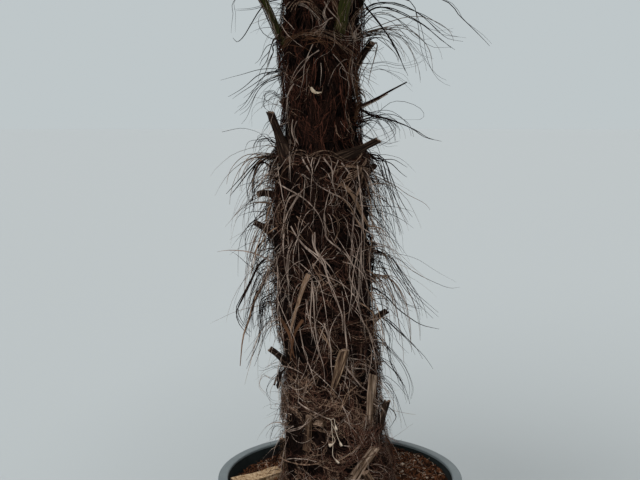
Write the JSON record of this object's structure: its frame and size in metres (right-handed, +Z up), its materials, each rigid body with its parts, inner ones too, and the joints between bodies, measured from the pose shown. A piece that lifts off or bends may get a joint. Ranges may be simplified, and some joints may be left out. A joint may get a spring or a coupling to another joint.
{
  "type": "windmill palm",
  "caption": "Young windmill palm with a fibre-clad trunk, cut leaf bases and a crown of fan fronds, growing in a round tapered nursery pot.",
  "frame": {"origin": "middle of the pot's flat underside", "axes": "+Z up along the trunk, -Y towards the picture's viewer, +X to the viewer's right"},
  "size_m": [1.8938, 1.7456, 2.464],
  "materials": {
    "pot_plastic": "matt moulded grey plastic, paler on the worn rim",
    "soil": "moist potting compost mulched with bark chips",
    "bark_slab": "dry split bark, speckled",
    "trunk_fibre": "matted brown palm fibre",
    "leaf_base": "weathered dry leaf stalk, paler at the cut",
    "dry_fibre": "dry loose fibre and strips",
    "frond": "satin green leaf"
  },
  "bodies": {
    "root": {"pot": "pot_plastic", "soil": "soil", "bark_slab": "bark_slab", "trunk": "trunk_fibre", "leaf_base_01": "leaf_base", "leaf_base_02": "leaf_base", "leaf_base_03": "leaf_base", "leaf_base_04": "leaf_base", "leaf_base_05": "leaf_base", "leaf_base_06": "leaf_base", "leaf_base_07": "leaf_base", "leaf_base_08": "leaf_base", "leaf_base_09": "leaf_base", "leaf_base_10": "leaf_base", "leaf_base_11": "leaf_base", "leaf_base_12": "leaf_base", "leaf_base_13": "leaf_base", "leaf_base_14": "leaf_base", "leaf_base_15": "leaf_base", "leaf_base_16": "leaf_base", "leaf_base_17": "leaf_base", "leaf_base_18": "leaf_base", "leaf_base_19": "leaf_base", "leaf_base_20": "leaf_base", "leaf_base_21": "leaf_base", "leaf_base_22": "leaf_base", "leaf_base_23": "leaf_base", "leaf_base_24": "leaf_base", "fibre_tuft_01": "dry_fibre", "fibre_tuft_02": "dry_fibre", "fibre_tuft_03": "dry_fibre", "fibre_tuft_04": "dry_fibre", "fibre_tuft_05": "dry_fibre", "fibre_tuft_06": "dry_fibre", "fibre_tuft_07": "dry_fibre", "fibre_tuft_08": "dry_fibre", "fibre_tuft_09": "dry_fibre", "fibre_tuft_10": "dry_fibre", "frond_01": "frond", "frond_02": "frond", "frond_03": "frond", "frond_04": "frond", "frond_05": "frond", "frond_06": "frond", "frond_07": "frond", "frond_08": "frond", "frond_09": "frond", "frond_10": "frond", "frond_11": "frond", "frond_12": "frond", "frond_13": "frond", "frond_14": "frond", "frond_15": "frond", "frond_16": "frond", "frond_17": "frond", "frond_18": "frond", "frond_19": "frond", "frond_20": "frond", "spear_leaf": "frond"}
  },
  "joints": []
}
